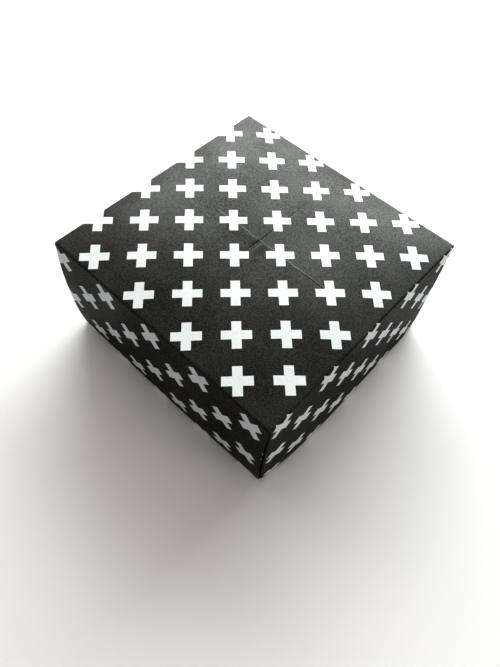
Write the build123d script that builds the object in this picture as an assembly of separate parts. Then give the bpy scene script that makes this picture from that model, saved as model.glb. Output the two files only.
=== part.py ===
from build123d import *

import os
from math import sqrt

# Masu box: one square sheet of printed paper folded into an open box, resting on its rim with its base up.
# The sheet's corners meet at its centre, and every edge of that smaller square is then folded to the
# centre line, so the base is two quarters of it wide and the walls are one quarter of it high.
# The two plain walls at +X and -X have two layers of paper. The two wrapped walls at +Y and -Y have six:
# their outer layer, two layers of corner gusset, the tail of the plain wall's flap, the turned side
# of their own flap, and that flap. The four flaps end in triangles that meet on the floor of the box.
# The paper springs back at its folds, so the base and the outer layers of the walls swell outwards.

# Driving dimensions, in millimetres
sheet_side = 210.0
paper_thickness = 0.12
layer_gap = 0.10  # air between two layers that are folded flat on each other
fold_radius = 0.15  # inside radius of a right-angle fold
seam_gap = 0.30  # between the flap edges that meet along the diagonals of the floor
base_crown = 1.1  # how far the middle of the base stands out
wall_swell = 1.1  # how far the middle of an outer wall stands out

# Sizes that follow from the folds
wall_height = sheet_side / (4 * sqrt(2))
half_base = wall_height
layer_step = paper_thickness + layer_gap
bend_radius = fold_radius + paper_thickness  # outside of a right-angle fold
turn_radius = paper_thickness + layer_gap / 2  # outside of a flat fold between neighbouring layers
gusset_edge = sqrt(2) * turn_radius  # rise from the diagonal crease to the edge of a gusset's panel
seam_inset = seam_gap / sqrt(2)

# Layers of a wrapped wall and of a plain wall, counted inwards from the outer face
OUTER, GUSSET_BACK, GUSSET_FRONT, FLAP_TAIL, TURNED_SIDE, INNER = range(6)
PLAIN_OUTER, PLAIN_INNER = range(2)

# Each fold over the rim of a wrapped wall lies one layer inside the next
wrapped_rim = wall_height
turned_rim = wrapped_rim - layer_step
plain_rim = turned_rim - layer_step

# Inner right-angle folds stand one layer in from the base's own
foot = layer_step + bend_radius
floor_half = half_base - INNER * layer_step - bend_radius
flap_half = floor_half - seam_inset

X_AXIS, Y_AXIS, Z_AXIS = Vector(1, 0, 0), Vector(0, 1, 0), Vector(0, 0, 1)


def flat_face(*corners):
    """A flat panel's outline."""
    return make_face(Polyline(*corners, close=True))


def rectangle(half_width, low, high):
    """An upright rectangle that is centred on the wall."""
    return flat_face((-half_width, low), (half_width, low), (half_width, high), (-half_width, high))


def swollen_face(half_width, low, high, swell):
    """An upright rectangle with straight edges, whose middle stands out of its plane by the swell."""
    heights = (low, (low + high) / 2, high)
    columns = [[(x, y, 0) for y in heights] for x in (-half_width, 0, half_width)]
    columns[1][1] = (0, heights[1], 4 * swell)  # a quarter of the middle point's rise reaches the face
    return Face.make_bezier_surface(columns)


def level_panel(face, height):
    """A panel parallel to the base, with its underside at a height."""
    return extrude(Plane.XY.offset(height) * face, paper_thickness, dir=Z_AXIS)


def wrapped_panel(face, layer):
    """A panel in one layer of the wrapped wall at +Y, drawn in X and Z."""
    wall = Plane((0, half_base - layer * layer_step, 0), x_dir=X_AXIS, z_dir=-Y_AXIS)
    return extrude(wall * face, paper_thickness, dir=-Y_AXIS)


def plain_panel(face, layer):
    """A panel in one layer of the plain wall at +X, drawn in Y and Z."""
    wall = Plane((half_base - layer * layer_step, 0, 0), x_dir=Y_AXIS, z_dir=X_AXIS)
    return extrude(wall * face, paper_thickness, dir=-X_AXIS)


def right_angle_fold(centre, first, second, length, radius=bend_radius):
    """Paper bent from one direction to another about a line that runs along their cross product."""
    ring = Circle(radius) - Circle(radius - paper_thickness)
    quarter = ring & Rectangle(radius, radius, align=(Align.MIN, Align.MIN))
    return extrude(Plane(centre, x_dir=first, z_dir=first.cross(second)) * quarter, length)


def flat_fold(edge, outward, across, length, layers):
    """Paper folded back on itself over an edge, to a layer that lies so many layers across.

    The edge is where the first layer's outer face ends. The fold runs along outward x across.
    """
    width = layers * layer_step + paper_thickness
    radius = min(bend_radius, width / 2)
    near = edge + across * radius
    far = edge + across * (width - radius)
    fold = [
        right_angle_fold(near, -across, outward, length, radius),
        right_angle_fold(far, outward, across, length, radius),
    ]
    if layers > 1:
        crown = Plane(near + outward * radius, x_dir=across, z_dir=outward)
        strip = Rectangle(width - 2 * radius, length, align=(Align.MIN, Align.MIN))
        fold.append(extrude(crown * strip, -paper_thickness))
    return fold


def base():
    reach = half_base - bend_radius
    return level_panel(swollen_face(reach, -reach, reach, -base_crown), 0)


def plain_wall():
    """The wall at +X: outer layer, fold over the rim, inner layer and the flap on the floor."""
    outer_half = half_base - GUSSET_FRONT * layer_step - bend_radius
    inner_half = half_base - FLAP_TAIL * layer_step - bend_radius
    rim_edge = plain_rim - turn_radius
    base_fold = Vector(half_base - bend_radius, -outer_half, bend_radius)
    rim_fold = Vector(half_base, inner_half, rim_edge)
    flap_end = half_base - foot
    flap = flat_face(
        (seam_inset, 0),
        (floor_half, -flap_half),
        (flap_end, -flap_half),
        (flap_end, flap_half),
        (floor_half, flap_half),
    )
    return [
        right_angle_fold(base_fold, X_AXIS, -Z_AXIS, 2 * outer_half),
        plain_panel(swollen_face(outer_half, bend_radius, rim_edge, wall_swell), PLAIN_OUTER),
        *flat_fold(rim_fold, Z_AXIS, -X_AXIS, 2 * inner_half, PLAIN_INNER),
        plain_panel(rectangle(inner_half, foot, rim_edge), PLAIN_INNER),
        right_angle_fold(Vector(flap_end, -flap_half, foot), X_AXIS, -Z_AXIS, 2 * flap_half),
        level_panel(flap, layer_step),
    ]


def wrapped_wall():
    """The wall at +Y: outer layer, fold over the rim, inner layer and the flap on the floor."""
    base_reach = half_base - bend_radius
    outer_half = half_base - turn_radius
    inner_half = half_base - GUSSET_FRONT * layer_step - turn_radius
    rim_edge = wrapped_rim - bend_radius
    base_fold = Vector(-base_reach, base_reach, bend_radius)
    rim_fold = Vector(-inner_half, half_base, rim_edge)
    flap = flat_face((0, seam_inset), (flap_half, floor_half), (-flap_half, floor_half))
    return [
        right_angle_fold(base_fold, -Z_AXIS, Y_AXIS, 2 * base_reach),
        wrapped_panel(swollen_face(outer_half, bend_radius, rim_edge, -wall_swell), OUTER),
        *flat_fold(rim_fold, Z_AXIS, -Y_AXIS, 2 * inner_half, INNER),
        wrapped_panel(rectangle(inner_half, foot, rim_edge), INNER),
        right_angle_fold(Vector(-flap_half, floor_half, foot), -Z_AXIS, Y_AXIS, 2 * flap_half),
        level_panel(flap, layer_step),
    ]


def gusset():
    """The folded corner at +X, +Y, between the outer and inner layers of the wrapped wall."""
    turned_top = turned_rim - bend_radius
    plain_top = plain_rim - turn_radius
    inner_side = GUSSET_FRONT * layer_step + turn_radius

    def triangle(side, top, layer):
        """A panel between the corner, the rim and the diagonal, its side so far in from the corner."""
        corner_low = (half_base - side, side + gusset_edge)
        corner_high = (half_base - side, top)
        middle_high = (half_base - top + gusset_edge, top)
        return wrapped_panel(flat_face(corner_low, corner_high, middle_high), layer)

    def corner_fold(side, layer):
        """The flat fold down a vertical corner, from one layer to the next."""
        edge = Vector(half_base - side, half_base - layer * layer_step, turned_top)
        return flat_fold(edge, X_AXIS, -Y_AXIS, turned_top - side - gusset_edge, 1)

    def rim_fold(side, top, layer, layers):
        """The flat fold over the rim, from the diagonal to a side near the corner."""
        start = top - gusset_edge
        edge = Vector(half_base - start, half_base - layer * layer_step, top)
        return flat_fold(edge, Z_AXIS, -Y_AXIS, start - side, layers)

    def wall_fold(side, layer):
        """The right-angle fold from a gusset's layer into the plain wall."""
        centre = Vector(half_base - side, half_base - layer * layer_step - bend_radius, side + gusset_edge)
        return right_angle_fold(centre, X_AXIS, Y_AXIS, plain_top - side - gusset_edge)

    crease_start = Vector(half_base - bend_radius, half_base - layer_step, bend_radius + gusset_edge)
    crease_out = Vector(-1, 0, -1).normalized()
    crease_length = sqrt(2) * (plain_top - gusset_edge - bend_radius)
    return [
        *corner_fold(turn_radius, OUTER),
        triangle(turn_radius, turned_top, GUSSET_BACK),
        *flat_fold(crease_start, crease_out, -Y_AXIS, crease_length, 1),
        triangle(bend_radius, plain_top, GUSSET_FRONT),
        wall_fold(bend_radius, GUSSET_FRONT),
        *rim_fold(foot, plain_top, GUSSET_FRONT, FLAP_TAIL - GUSSET_FRONT),
        triangle(foot, plain_top, FLAP_TAIL),
        wall_fold(foot, FLAP_TAIL),
        *rim_fold(inner_side, turned_top, GUSSET_BACK, TURNED_SIDE - GUSSET_BACK),
        triangle(inner_side, turned_top, TURNED_SIDE),
        *corner_fold(inner_side, TURNED_SIDE),
    ]


def both_sides(pieces, plane):
    """The pieces and their mirror images."""
    return pieces + [mirror(piece, about=plane) for piece in pieces]


corners = both_sides(both_sides(gusset(), Plane.YZ), Plane.XZ)
walls = both_sides(plain_wall(), Plane.YZ) + both_sides(wrapped_wall(), Plane.XZ)
folded_sheet = base().fuse(*walls, *corners).clean()
masu_box = Pos(0, 0, wall_height) * Rot(180, 0, 0) * folded_sheet

os.makedirs("parts", exist_ok=True)
export_step(masu_box, "parts/masu_box.step")
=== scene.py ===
import math

import bpy
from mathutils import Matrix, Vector


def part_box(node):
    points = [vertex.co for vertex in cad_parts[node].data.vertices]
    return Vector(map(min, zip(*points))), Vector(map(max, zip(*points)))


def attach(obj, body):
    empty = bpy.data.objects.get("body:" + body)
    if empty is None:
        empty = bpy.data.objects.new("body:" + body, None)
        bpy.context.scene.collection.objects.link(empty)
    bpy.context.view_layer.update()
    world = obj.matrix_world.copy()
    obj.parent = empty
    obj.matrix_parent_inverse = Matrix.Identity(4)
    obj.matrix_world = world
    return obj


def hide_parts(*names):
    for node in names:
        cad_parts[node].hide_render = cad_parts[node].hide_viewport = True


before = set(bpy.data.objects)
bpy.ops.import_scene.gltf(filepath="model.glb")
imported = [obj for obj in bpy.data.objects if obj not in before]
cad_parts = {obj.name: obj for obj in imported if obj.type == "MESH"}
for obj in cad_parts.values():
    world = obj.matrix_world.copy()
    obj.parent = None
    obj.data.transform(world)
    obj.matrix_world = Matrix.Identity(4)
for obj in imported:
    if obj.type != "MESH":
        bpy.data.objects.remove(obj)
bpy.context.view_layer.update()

# The sheet and its folds, in metres. The sheet lies with its corners along X and Y, and a panel is half
# as wide as the base and as high as a wall.
LOW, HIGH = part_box("masu_box")
PAPER = 0.00012  # thickness of the sheet
LAYER = 0.00022  # from one folded layer to the next
SWELL = 0.0011  # how far the solid's base and walls stand out
BASE = HIGH.x - LOW.x - 2 * SWELL
HEIGHT = HIGH.z - SWELL
TOP = HEIGHT - PAPER / 2
QUARTER = BASE / 2 - PAPER / 2  # one panel
PANELS = 4  # from the middle of the sheet to each of its corners
HALF_SHEET = PANELS * QUARTER
PANEL_CUTS = 4  # parts of a panel from one fold line to the next
FOLD_ROOM = 0.0006  # from a fold line to the cut on either side of it
FLAP_GAP = 0.0002  # how far the edges of the flaps on the floor are drawn in
TIP_GAP = 0.0004  # how far the tip of a gusset is drawn in
MIRROR_MERGE = 0.00002  # how near mirrored vertices become one
NEAR = 1e-6  # how near counts as the same place

# Layers of a wrapped wall, counted inwards from the outer face, layers up from the rim to each fold
# over it, and layers up from the base to the flaps beneath it
OUTER, GUSSET_BACK, GUSSET_FRONT, FLAP_TAIL, TURNED_SIDE, INNER = range(6)
WRAPPED_RIM, TURNED_RIM, PLAIN_RIM = range(3)
FLOOR_FLAP = -1

# How far the folded edge of a wrapped wall stands off at each corner, by the signs of X and Y,
# and the share of it at the base and at the rim
CORNER_LIFT = {(1, -1): 0.0008, (-1, -1): 0.0003, (1, 1): 0.0002, (-1, 1): 0.0003}
LIFT_AT_ENDS = 0.55

# Creases in the base: the step between the cuts beside them, then for each line its axis, the first
# and last row of cuts that it moves, its two ends and its rise. The long crease is a fine step down
# that ends as a ridge.
CREASE_STEP = 0.00015
CREASE_CUTS = (1, 2, 3, 30, 92, 160)
LONG_CREASE = ("X", -4, 1, -0.0155, 0.0125, 0.000040)
LONG_CREASE_FOOT = ("X", 2, 2, -0.0155, 0.0125, 0.000020)
LONG_CREASE_END = ("X", 2, 2, 0.0095, 0.0240, 0.000030)
SHORT_CREASE = ("Y", -2, -2, -0.0060, 0.0215, -0.000040)
CREASE_FADE = 0.005
OFF_BASE = (1, 1)  # stands for every place that no crease can reach

# How far the springy walls stand out from a true box, in shares of the base side: along the base at
# both ends, along the rim at both ends, the rim's bow and its skew, and the belly
RIGHT_WALL = (0.001, 0.004, -0.005, 0.031, 0.011, -0.023, 0.016)
FRONT_WALL = (0.004, 0.001, 0.002, -0.006, 0.009, 0.002, 0.047)
BACK_WALL = (-0.019, 0.003, 0.0, -0.029, 0.010, 0.0, 0.024)
LEFT_WALL = (0.013, 0.002, 0.000, 0.0, 0.010, 0.0, 0.010)

# In the same shares: how far the right wall curls in at its far end, how far the middle of the base
# rises, and how far the rim drops. The rise changes with y, x * x, y * y and x * y across the base.
FAR_END_CURL = 0.014
CROWN = 0.0148
CROWN_CHANGE = (-0.4, 1.5, 0.2, 0.5)
RIM_DROP = 0.010

# The lattice that bends the box, and the powers that keep a wall's shift and the curl near the edges
CAGE_POINTS = (9, 9, 5)
SHIFT_POWER = 6
CURL_POWER = 8

# Smoothing: levels of subdivision, and the angle from which an edge stays sharp
SMOOTH_LEVELS = 2
SHARP_EDGE = math.radians(40)

# The printed pattern: its pitch in metres, and the rest in pitches
PRINT_MAP = "print"
PITCH = 0.15928 * BASE
PLUS_SPAN = 0.627
PLUS_ARM = 0.203
PRINT_SHIFT = (-0.0748, 0.1238)
EDGE_BLUR = 0.005

# Noises in the ink and the paper: scale per metre, detail and roughness
FIBRE = (4200, 2.0, 0.6)
MOTTLE = (2300, 2.0, 0.6)
CLOUD = (70, 2.0, 0.5)
SPECK = (3200, 0.0, 0.5)
BACK_FIBRE = (1800, 4.0, 0.65)

# The stretch of a noise over which what it draws fades in
MOTTLE_FADE = (0.35, 0.65)
CLOUD_FADE = (0.3, 0.7)
WORN_FADE = (0.56, 0.70)
SPECK_FADE = (0.84, 0.88)
BACK_FADE = (0.3, 0.7)

# Worn fold lines and bare specks: the width of the wear and the middle of the sheet without any, in
# panels, and how strongly each shows
WORN_WIDTH = 0.010
UNFOLDED_MIDDLE = (0.6, 0.4)
WORN_SHOW = 0.3
SPECK_SHOW = 0.4

# Colours, each pair from darker to lighter
INK = ((0.0045, 0.0049, 0.0040, 1), (0.0061, 0.0065, 0.0054, 1))
SCUFFED_INK = (0.20, 0.20, 0.19, 1)
WHITE_PLUS = ((0.605, 0.642, 0.685, 1), (0.65, 0.687, 0.73, 1))
PAPER_BACK = ((0.74, 0.75, 0.74, 1), (0.84, 0.85, 0.84, 1))
DAYLIGHT = (0.955, 1.0, 0.965)
WARM_LIGHT = (1.0, 0.945, 0.835)

# Finishes: the sheen of the ink is a rough coat, heavier in the mottle and the clouds
INK_ROUGHNESS = (0.5, 0.7)
INK_SHEEN = {"Specular IOR Level": 0.0, "Coat Roughness": 0.43, "Coat IOR": 1.9}
COAT_LEAST = 0.33
COAT_MOTTLE = 0.26
COAT_CLOUD = 0.13
BACK_ROUGHNESS = (0.75, 0.90)
FLOOR_FINISH = {"Base Color": (0.77, 0.775, 0.805, 1), "Roughness": 0.7}

# Bumps: their strength, their depth in metres, and the share of the fibres in the ink's
BUMP_STRENGTH = 0.3
INK_BUMP = 0.00004
BACK_BUMP = 0.00003
FIBRE_BUMP = 0.45

# The floor and the sweep at its rim, in metres
FLOOR_RADIUS = 1.2
FLOOR_SIDES = 96
SWEEP = 1.3
SWEEP_STEPS = 12

# The lamps: bearing from the back towards the left and height in degrees, width and length in metres,
# watts and colour. They hang at one distance from a point just above the floor.
LAMPS = {
    "window": ((28, 28), (0.85, 0.52), 6.5, DAYLIGHT),
    "ceiling": ((15, 72), (0.5, 0.5), 0.25, WARM_LIGHT),
    "left_fill": ((90, 30), (0.5, 0.5), 0.75, WARM_LIGHT),
    "right_fill": ((-90, 30), (0.5, 0.5), 0.72, WARM_LIGHT),
}
LAMP_DISTANCE = 0.7
LAMP_AIM = Vector((0, 0, 0.02))
ROOM_STRENGTH = 0.27

# The camera, in base sides from the middle of the base's face, and in degrees
CAMERA_PLACE = (0.8030, -1.0260, 1.5649)
CAMERA_TURN = (30.78, -2.84, 42.98)
LENS = 30.44
SENSOR = 36.0
CLIP_START = 0.01

# A Mix node's sockets for two colours and their mix
FIRST_COLOUR, SECOND_COLOUR, MIXED_COLOUR = 6, 7, 2


class Shade:
    """A shader socket that takes part in sums as a plain number does."""

    def __init__(self, tree, socket=None):
        self.tree = tree
        self.socket = socket

    def make(self, kind, settings=None, sockets=None, output=0):
        """Adds a node, sets it up, fills its sockets and returns one of its outputs."""
        node = self.tree.nodes.new(kind)
        for name, value in (settings or {}).items():
            setattr(node, name, value)
        for name, value in (sockets or {}).items():
            if isinstance(value, Shade):
                self.tree.links.new(value.socket, node.inputs[name])
            else:
                node.inputs[name].default_value = value
        return Shade(self.tree, node.outputs[output])

    def maths(self, operation, *values):
        return self.make("ShaderNodeMath", {"operation": operation}, dict(enumerate(values)))

    def __add__(self, other):
        return self.maths("ADD", self, other)

    def __radd__(self, other):
        return self.maths("ADD", other, self)

    def __sub__(self, other):
        return self.maths("SUBTRACT", self, other)

    def __rsub__(self, other):
        return self.maths("SUBTRACT", other, self)

    def __mul__(self, other):
        return self.maths("MULTIPLY", self, other)

    def __rmul__(self, other):
        return self.maths("MULTIPLY", other, self)

    def __abs__(self):
        return self.maths("ABSOLUTE", self)

    def least(self, other):
        return self.maths("MINIMUM", self, other)

    def most(self, other):
        return self.maths("MAXIMUM", self, other)

    def fraction(self):
        return self.maths("FRACT", self)

    def between(self, low, high):
        """Goes evenly from low at 0 to high at 1."""
        return low + self * (high - low)

    def fade(self, start, end):
        """Goes smoothly from 0 at start to 1 at end."""
        limits = {"Value": self, "From Min": start, "From Max": end}
        return self.make("ShaderNodeMapRange", {"interpolation_type": "SMOOTHSTEP"}, limits)

    def blend(self, first, second):
        """Mixes two colours, with this value as the share of the second."""
        sockets = {"Factor": self, FIRST_COLOUR: first, SECOND_COLOUR: second}
        return self.make("ShaderNodeMix", {"data_type": "RGBA"}, sockets, MIXED_COLOUR)

    def noise(self, scale, detail, roughness):
        sockets = {"Vector": self, "Scale": scale, "Detail": detail, "Roughness": roughness}
        return self.make("ShaderNodeTexNoise", None, sockets)

    def bump(self, depth):
        """Makes a bumpy normal from this value as a height."""
        sockets = {"Strength": BUMP_STRENGTH, "Distance": depth, "Height": self}
        return self.make("ShaderNodeBump", None, sockets)


def new_material(name, finish):
    """A material with the even parts of its finish set, its shader, and a Shade to start sums from."""
    material = bpy.data.materials.new(name)
    material.use_nodes = True
    shader = material.node_tree.nodes["Principled BSDF"]
    for socket, value in finish.items():
        shader.inputs[socket].default_value = value
    return material, shader, Shade(material.node_tree)


def feed(shade, shader, name):
    """Links a value that varies over the surface to one of the shader's sockets."""
    shade.tree.links.new(shade.socket, shader.inputs[name])


def white_pluses(x, y):
    """Where the print leaves the paper bare: rows of plain pluses along the sheet's slanting edges."""
    slant = PITCH * math.sqrt(2)
    along = abs(((x + y) * (1 / slant) - PRINT_SHIFT[0]).fraction() - 0.5)
    across = abs(((y - x) * (1 / slant) - PRINT_SHIFT[1]).fraction() - 0.5)

    def within(distance, width):
        return distance.fade(width / 2 + EDGE_BLUR, width / 2 - EDGE_BLUR)

    bar = within(along, PLUS_SPAN).least(within(across, PLUS_ARM))
    post = within(along, PLUS_ARM).least(within(across, PLUS_SPAN))
    return bar.most(post)


def fold_distance(x, y):
    """How far the nearest fold line is, in panels, leaving out the middle of the sheet."""

    def one_way(place):
        panels = abs(place) * (1 / QUARTER)
        return abs((panels + 0.5).fraction() - 0.5) + panels.fade(*UNFOLDED_MIDDLE)

    return one_way(x).least(one_way(y))


def printed_paper():
    """Satin black ink with white pluses, worn along the folds."""
    material, shader, start = new_material("printed_paper", INK_SHEEN)
    sheet = start.make("ShaderNodeUVMap", {"uv_map": PRINT_MAP})
    spread = [sheet.make("ShaderNodeSeparateXYZ", None, {"Vector": sheet}, axis) for axis in "XY"]
    x, y = [(share - 0.5) * (2 * HALF_SHEET) for share in spread]
    place = start.make("ShaderNodeTexCoord", output="Object")
    fibre = place.noise(*FIBRE)
    mottle = place.noise(*MOTTLE)
    patches = mottle.fade(*MOTTLE_FADE)
    clouds = place.noise(*CLOUD).fade(*CLOUD_FADE)
    specks = place.noise(*SPECK).fade(*SPECK_FADE)
    worn = fold_distance(x, y).fade(WORN_WIDTH, 0.0) * fibre.fade(*WORN_FADE)

    scuffs = (worn * WORN_SHOW).most(specks * SPECK_SHOW)
    ink = scuffs.blend(patches.blend(*INK), SCUFFED_INK)
    feed(white_pluses(x, y).blend(ink, patches.blend(*WHITE_PLUS)), shader, "Base Color")
    feed(patches.between(*INK_ROUGHNESS), shader, "Roughness")
    feed(COAT_LEAST + patches * COAT_MOTTLE + clouds * COAT_CLOUD, shader, "Coat Weight")
    feed((fibre * FIBRE_BUMP + mottle).bump(INK_BUMP), shader, "Normal")
    return material


def bare_paper():
    """The unprinted back of the sheet and its cut edges."""
    material, shader, start = new_material("bare_paper", {})
    fibre = start.make("ShaderNodeTexCoord", output="Object").noise(*BACK_FIBRE)
    feed(fibre.fade(*BACK_FADE).blend(*PAPER_BACK), shader, "Base Color")
    feed(fibre.between(*BACK_ROUGHNESS), shader, "Roughness")
    feed(fibre.bump(BACK_BUMP), shader, "Normal")
    return material


def take(piece):
    """Leaves the piece as the only selected and active object."""
    if bpy.context.mode != "OBJECT":
        bpy.ops.object.mode_set(mode="OBJECT")
    bpy.ops.object.select_all(action="DESELECT")
    piece.select_set(True)
    bpy.context.view_layer.objects.active = piece


def pick(piece, places, wanted):
    """Selects in edit mode the vertices whose place, a pair of values for each, is wanted."""
    bpy.ops.mesh.select_mode(type="VERT")
    bpy.ops.mesh.select_all(action="DESELECT")
    bpy.ops.object.mode_set(mode="OBJECT")
    for vertex, place in zip(piece.data.vertices, places):
        vertex.select = wanted(*place)
    bpy.ops.object.mode_set(mode="EDIT")


def cut(point, normal, clear=False):
    """Cuts the whole sheet along a line, and throws away what lies beyond it if told to."""
    bpy.ops.mesh.select_all(action="SELECT")
    bpy.ops.mesh.bisect(plane_co=(*point, TOP), plane_no=(*normal, 0), clear_outer=clear)


def flat_quarter():
    """A quarter of the square sheet, lying flat with its fold lines cut in."""
    bpy.ops.object.select_all(action="DESELECT")
    middle = (HALF_SHEET / 2, HALF_SHEET / 2, TOP)
    bpy.ops.mesh.primitive_plane_add(size=HALF_SHEET, location=middle)
    piece = bpy.context.object
    piece.name = "folded_sheet"
    bpy.ops.object.transform_apply(location=True, rotation=True, scale=True)
    bpy.ops.object.mode_set(mode="EDIT")
    cut((HALF_SHEET, 0), (1, 1), True)
    lines = []
    for panel in range(PANELS):
        start = panel * QUARTER
        lines += [start - FOLD_ROOM, start, start + FOLD_ROOM]
        lines += [start + QUARTER * step / PANEL_CUTS for step in range(1, PANEL_CUTS)]
    lines += [CREASE_STEP * step for step in CREASE_CUTS]
    for line in lines:
        if line > NEAR:
            cut((line, 0), (1, 0))
            cut((0, line), (0, 1))
    bpy.ops.object.mode_set(mode="OBJECT")
    for offset in (-FOLD_ROOM, 0, FOLD_ROOM):
        cut_corner(piece, offset)
    layer = piece.data.uv_layers.active
    layer.name = PRINT_MAP
    for corner in layer.data:
        corner.uv = Vector((0.5, 0.5)) + corner.uv / 2
    return piece


def cut_corner(piece, offset):
    """Cuts the corner square along its diagonal, or along a line beside it."""
    take(piece)
    bpy.ops.object.mode_set(mode="EDIT")
    bpy.ops.mesh.select_mode(type="FACE")
    bpy.ops.mesh.select_all(action="DESELECT")
    bpy.ops.object.mode_set(mode="OBJECT")
    for face in piece.data.polygons:
        face.select = all(QUARTER < part < 2 * QUARTER for part in face.center[:2])
    bpy.ops.object.mode_set(mode="EDIT")
    bpy.ops.mesh.bisect(plane_co=(offset, 0, TOP), plane_no=(1, -1, 0))
    bpy.ops.object.mode_set(mode="OBJECT")


def plain_side(x, y):
    """The part of the sheet that makes a plain wall, with the gusset next to it."""
    return x > QUARTER + NEAR and x > y - NEAR


def wrapped_side(x, y):
    """The part of the sheet that makes a wrapped wall, with the gusset next to it."""
    return y > QUARTER + NEAR and y > x + NEAR


def fold(piece, places, wanted, axis, line, degrees):
    """Turns part of the sheet about a fold line parallel to an axis."""
    pick(piece, places, wanted)
    centre = (0, line, TOP) if axis == "X" else (line, 0, TOP)
    turn = {"orient_axis": axis, "orient_type": "GLOBAL", "center_override": centre}
    bpy.ops.transform.rotate(value=-math.radians(degrees), **turn)


def fold_quarter(piece, places):
    """Folds the flat quarter into a corner of the box, layer on layer."""
    one, two, three = QUARTER, 2 * QUARTER, 3 * QUARTER

    def gusset_front(x, y):
        return plain_side(x, y) and y > one + NEAR and x < two + NEAR

    def gusset_tail(x, y):
        return plain_side(x, y) and y > one + NEAR and x > two + NEAR

    fold(piece, places, gusset_front, "X", one, -90)
    fold(piece, places, gusset_tail, "X", one, 90)
    for line, degrees in ((three, -90), (two, 180), (one, 90)):
        fold(piece, places, lambda x, y: plain_side(x, y) and x > line + NEAR, "Y", line, degrees)
    fold(piece, places, lambda x, y: wrapped_side(x, y) and x > one + NEAR, "Y", one, 180)
    for line, degrees in ((three, 90), (two, 180), (one, -90)):
        fold(piece, places, lambda x, y: wrapped_side(x, y) and y > line + NEAR, "X", line, degrees)


def side_of(value, line):
    """0 before a fold line, 0.5 on it and 1 past it."""
    if abs(value - line) < NEAR:
        return 0.5
    return float(value > line)


def partway(first, second, share):
    """The first value at a share of 0, the second at 1."""
    return first + (second - first) * share


def layer_steps(x, y):
    """How many layers a point of the sheet moves in along X and Y, and up, to lie inside the others."""
    one, two, three = QUARTER, 2 * QUARTER, 3 * QUARTER
    right, back, up = 0.0, 0.0, 0.0
    if plain_side(x, y):
        turned = side_of(x, two)
        right = turned
        if y > one - FOLD_ROOM - NEAR:
            back = partway(GUSSET_FRONT, FLAP_TAIL, turned)
        if abs(x - y) < NEAR:
            back = (GUSSET_BACK + GUSSET_FRONT) / 2
        if abs(x - two) < FOLD_ROOM + NEAR:
            up = PLAIN_RIM
        if x > three - FOLD_ROOM - NEAR:
            up = FLOOR_FLAP
    elif wrapped_side(x, y):
        turned = side_of(y, two)
        behind = side_of(x, one)
        front = partway(OUTER, GUSSET_BACK, behind)
        rear = partway(INNER, TURNED_SIDE, behind)
        back = partway(front, rear, turned)
        if turned and x > one - FOLD_ROOM - NEAR:
            right = GUSSET_FRONT
        if abs(y - two) < FOLD_ROOM + NEAR:
            up = partway(WRAPPED_RIM, TURNED_RIM, behind)
        if y > three - FOLD_ROOM - NEAR:
            up = FLOOR_FLAP
    return right, back, up


def press_layers(piece, places):
    """Moves each part of the folded sheet in by the layers that lie outside it."""
    groups = {layer_steps(x, y) for x, y in places}
    for steps in sorted(groups):
        right, back, up = steps
        pick(piece, places, lambda x, y: layer_steps(x, y) == steps)
        bpy.ops.transform.translate(value=(-right * LAYER, -back * LAYER, up * LAYER))


def trim_flaps(piece, places):
    """Draws in the floor flaps and gusset tips a little, so that none lies on another."""
    one, three = QUARTER, 3 * QUARTER
    foot = TOP - LAYER
    inner = one - INNER * LAYER
    short = (inner - FLAP_GAP) / one
    long = (one - LAYER - FLAP_GAP) / one
    tip = (one - TIP_GAP) / one
    pick(piece, places, lambda x, y: plain_side(x, y) and x > three - NEAR)
    bpy.ops.transform.resize(value=(long, short, 1), center_override=(one - LAYER, 0, foot))
    pick(piece, places, lambda x, y: wrapped_side(x, y) and y > three - NEAR)
    bpy.ops.transform.resize(value=(short, short, 1), center_override=(0, inner, foot))
    pick(piece, places, lambda x, y: x > one + NEAR and y > one + NEAR)
    bpy.ops.transform.resize(value=(tip, 1, 1), center_override=(one, 0, 0))


def open_corner(piece, across, along, lift):
    """Lets the folded edge of a wrapped wall stand off at one corner, with a groove beside it."""
    edge = QUARTER - FOLD_ROOM - NEAR
    face = QUARTER - (GUSSET_BACK + GUSSET_FRONT) / 2 * LAYER
    places = []
    for vertex in piece.data.vertices:
        beside = vertex.co.x * across > edge and vertex.co.y * along > face
        places.append((beside, TOP - vertex.co.z))
    bpy.ops.object.mode_set(mode="EDIT")
    for depth in sorted({place for beside, place in places if beside and place > NEAR}):
        share = partway(LIFT_AT_ENDS, 1, math.sin(math.pi * depth / QUARTER))
        pick(piece, places, lambda beside, place: beside and place == depth)
        bpy.ops.transform.translate(value=(0, along * lift * share, 0))
    bpy.ops.object.mode_set(mode="OBJECT")


def crease(piece, axis, first_row, last_row, start, end, rise):
    """Raises rows of cuts in the middle of the base, fading out towards both ends."""
    first = first_row * CREASE_STEP - NEAR
    last = last_row * CREASE_STEP + NEAR
    places = []
    for vertex in piece.data.vertices:
        x, y, z = vertex.co
        place = (x, y) if axis == "X" else (y, x)
        places.append(place if abs(z - TOP) < NEAR else OFF_BASE)
    bpy.ops.object.mode_set(mode="EDIT")
    for step in sorted({along for along, across in places if start < along < end}):
        share = min(1, (step - start) / CREASE_FADE, (end - step) / CREASE_FADE)
        pick(piece, places, lambda along, across: abs(along - step) < NEAR and first < across < last)
        bpy.ops.transform.translate(value=(0, 0, rise * share))
    bpy.ops.object.mode_set(mode="OBJECT")


def apply_modifier(piece, kind, **settings):
    """Adds a modifier, sets it up and applies it."""
    take(piece)
    modifier = piece.modifiers.new(kind.lower(), kind)
    for name, value in settings.items():
        setattr(modifier, name, value)
    bpy.ops.object.modifier_apply(modifier=modifier.name)


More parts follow.
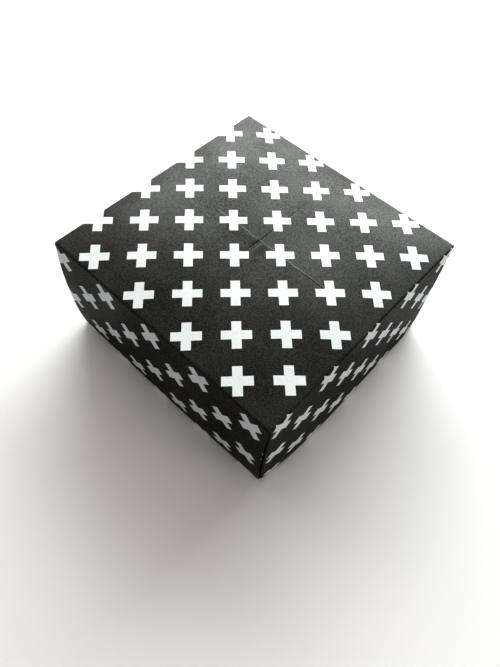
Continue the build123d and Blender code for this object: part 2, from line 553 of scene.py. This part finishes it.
def wall_shift(wall, along, depth):
    """How far a wall stands out, from -1 to 1 along it and from 0 at the base to 1 at the rim."""
    base_start, base_end, rim_start, rim_end, bow, skew, belly = wall
    share = (along + 1) / 2
    base = partway(base_start, base_end, share)
    rim = partway(rim_start, rim_end, share) + (1 - along * along) * (bow + skew * along)
    return BASE * (partway(base, rim, depth) + belly * depth * (1 - depth))


def end_curl(along, depth):
    """How far the right wall turns in at its far end, more and more towards the rim."""
    return BASE * FAR_END_CURL * max(0, along) ** CURL_POWER * depth * (2 - depth)


def crown_height(x, y):
    """How far the base swells outwards, with x and y from -1 to 1 across it."""
    by_y, by_x_squared, by_y_squared, by_both = CROWN_CHANGE
    middle = (1 - x * x) * (1 - y * y)
    change = 1 + by_y * y + by_x_squared * x * x + by_y_squared * y * y + by_both * x * y
    return BASE * CROWN * middle * change


def ease_shape(piece):
    """Lets the crisp box swell and lean as springy paper does."""
    take(piece)
    size = Vector((2 * QUARTER, 2 * QUARTER, TOP))
    bpy.ops.object.add(type="LATTICE", location=(0, 0, TOP / 2))
    cage = bpy.context.object
    cage.scale = size
    for axis, points in zip("uvw", CAGE_POINTS):
        setattr(cage.data, "points_" + axis, points)
        setattr(cage.data, "interpolation_type_" + axis, "KEY_CATMULL_ROM")
    for point in cage.data.points:
        x, y = 2 * point.co.x, 2 * point.co.y
        depth = 0.5 - point.co.z
        right = wall_shift(RIGHT_WALL, y, depth) - end_curl(y, depth)
        if x < 0:
            right = -wall_shift(LEFT_WALL, y, depth)
        back = wall_shift(BACK_WALL, x, depth) if y > 0 else -wall_shift(FRONT_WALL, x, depth)
        up = crown_height(x, y) * (1 - depth) - RIM_DROP * BASE * depth
        moved = Vector((right * abs(x) ** SHIFT_POWER, back * abs(y) ** SHIFT_POWER, up))
        point.co_deform = point.co + Vector(m / s for m, s in zip(moved, size))
    bpy.context.view_layer.update()
    apply_modifier(piece, "LATTICE", object=cage)
    take(cage)
    bpy.ops.object.delete()


def mirror_twice(piece):
    """Makes the whole box from one of its corners, with all faces turned outwards."""
    merge = {"merge_threshold": MIRROR_MERGE}
    apply_modifier(piece, "MIRROR", use_axis=(True, False, False), use_mirror_u=True, **merge)
    apply_modifier(piece, "MIRROR", use_axis=(False, True, False), use_mirror_v=True, **merge)
    bpy.ops.object.mode_set(mode="EDIT")
    bpy.ops.mesh.select_all(action="SELECT")
    bpy.ops.mesh.normals_make_consistent(inside=False)
    bpy.ops.object.mode_set(mode="OBJECT")


def round_folds(piece):
    """Rounds the folds by subdividing the sheet, and keeps its corners and its print in place."""
    levels = {"levels": SMOOTH_LEVELS, "render_levels": SMOOTH_LEVELS}
    edges = {"uv_smooth": "PRESERVE_BOUNDARIES", "boundary_smooth": "PRESERVE_CORNERS"}
    apply_modifier(piece, "SUBSURF", **levels, **edges)


def thicken(piece):
    """Gives the sheet its thickness: ink on its face, bare paper on its back and its edges."""
    piece.data.materials.append(printed_paper())
    piece.data.materials.append(bare_paper())
    backs = {"material_offset": 1, "material_offset_rim": 1}
    apply_modifier(piece, "SOLIDIFY", thickness=PAPER, offset=0, **backs)


def set_down(piece):
    """Rests the lowest point of the box on the floor."""
    take(piece)
    bpy.ops.object.mode_set(mode="EDIT")
    bpy.ops.mesh.select_all(action="SELECT")
    lowest = min(vertex.co.z for vertex in piece.data.vertices)
    bpy.ops.transform.translate(value=(0, 0, -lowest))
    bpy.ops.object.mode_set(mode="OBJECT")


def folded_sheet():
    """The whole box, folded from one quarter of the sheet and mirrored twice."""
    piece = flat_quarter()
    places = [(vertex.co.x, vertex.co.y) for vertex in piece.data.vertices]
    take(piece)
    bpy.ops.object.mode_set(mode="EDIT")
    fold_quarter(piece, places)
    press_layers(piece, places)
    trim_flaps(piece, places)
    mirror_twice(piece)
    for (across, along), lift in CORNER_LIFT.items():
        open_corner(piece, across, along, lift)
    for line in (LONG_CREASE, LONG_CREASE_FOOT, LONG_CREASE_END, SHORT_CREASE):
        crease(piece, *line)
    round_folds(piece)
    ease_shape(piece)
    thicken(piece)
    set_down(piece)
    bpy.ops.object.shade_smooth_by_angle(angle=SHARP_EDGE)
    return piece


def pale_floor():
    """A round floor that sweeps up at its rim, so that no view shows a horizon."""
    bpy.ops.object.select_all(action="DESELECT")
    bpy.ops.mesh.primitive_circle_add(vertices=FLOOR_SIDES, radius=FLOOR_RADIUS, fill_type="NGON")
    floor = bpy.context.object
    floor.name = "floor"
    bpy.ops.object.mode_set(mode="EDIT")
    bpy.ops.mesh.select_all(action="SELECT")
    bpy.ops.mesh.region_to_loop()
    radius, level = FLOOR_RADIUS, 0
    for step in range(1, SWEEP_STEPS + 1):
        angle = math.radians(90 * step / SWEEP_STEPS)
        wider = FLOOR_RADIUS + SWEEP * math.sin(angle)
        higher = SWEEP * (1 - math.cos(angle))
        bpy.ops.mesh.extrude_edges_move()
        bpy.ops.transform.resize(value=(wider / radius, wider / radius, 1), center_override=(0, 0, 0))
        bpy.ops.transform.translate(value=(0, 0, higher - level))
        radius, level = wider, higher
    bpy.ops.mesh.select_all(action="SELECT")
    bpy.ops.mesh.normals_make_consistent(inside=True)
    bpy.ops.object.mode_set(mode="OBJECT")
    bpy.ops.object.shade_smooth_by_angle(angle=SHARP_EDGE)
    floor.data.materials.append(new_material("pale_floor", FLOOR_FINISH)[0])


def soft_light(name, direction, size, energy, colour):
    """A lamp aimed at the box, at a bearing from the back towards the left and a height, in degrees."""
    bearing, height = (math.radians(angle) for angle in direction)
    light = bpy.data.lights.new(name, "AREA")
    light.shape = "RECTANGLE"
    light.size, light.size_y = size
    light.energy = energy
    light.color = colour
    lamp = bpy.data.objects.new(name, light)
    bpy.context.collection.objects.link(lamp)
    flat = math.cos(height)
    away = Vector((-math.sin(bearing) * flat, math.cos(bearing) * flat, math.sin(height)))
    lamp.location = LAMP_DISTANCE * away + LAMP_AIM
    lamp.rotation_euler = away.to_track_quat("Z", "Y").to_euler()


def room():
    """The even light that comes from all around, and the tones of the picture."""
    world = bpy.data.worlds.new("room")
    world.use_nodes = True
    around = world.node_tree.nodes["Background"]
    around.inputs["Color"].default_value = (*WARM_LIGHT, 1)
    around.inputs["Strength"].default_value = ROOM_STRENGTH
    scene = bpy.context.scene
    scene.world = world
    scene.view_settings.view_transform = "Standard"
    scene.view_settings.look = "Very High Contrast"


def photo_camera():
    """The camera, close above the box and a little rolled."""
    camera = bpy.data.cameras.new("camera")
    camera.lens = LENS
    camera.sensor_width = SENSOR
    camera.clip_start = CLIP_START
    holder = bpy.data.objects.new("camera", camera)
    bpy.context.collection.objects.link(holder)
    holder.location = Vector((0, 0, HEIGHT)) + BASE * Vector(CAMERA_PLACE)
    holder.rotation_euler = [math.radians(angle) for angle in CAMERA_TURN]
    bpy.context.scene.camera = holder


def studio():
    """Floor, soft window light from behind, and the camera."""
    pale_floor()
    for name, lamp in LAMPS.items():
        soft_light(name, *lamp)
    room()
    photo_camera()


box = folded_sheet()
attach(box, "root")
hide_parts("masu_box")
studio()

bpy.context.view_layer.update()
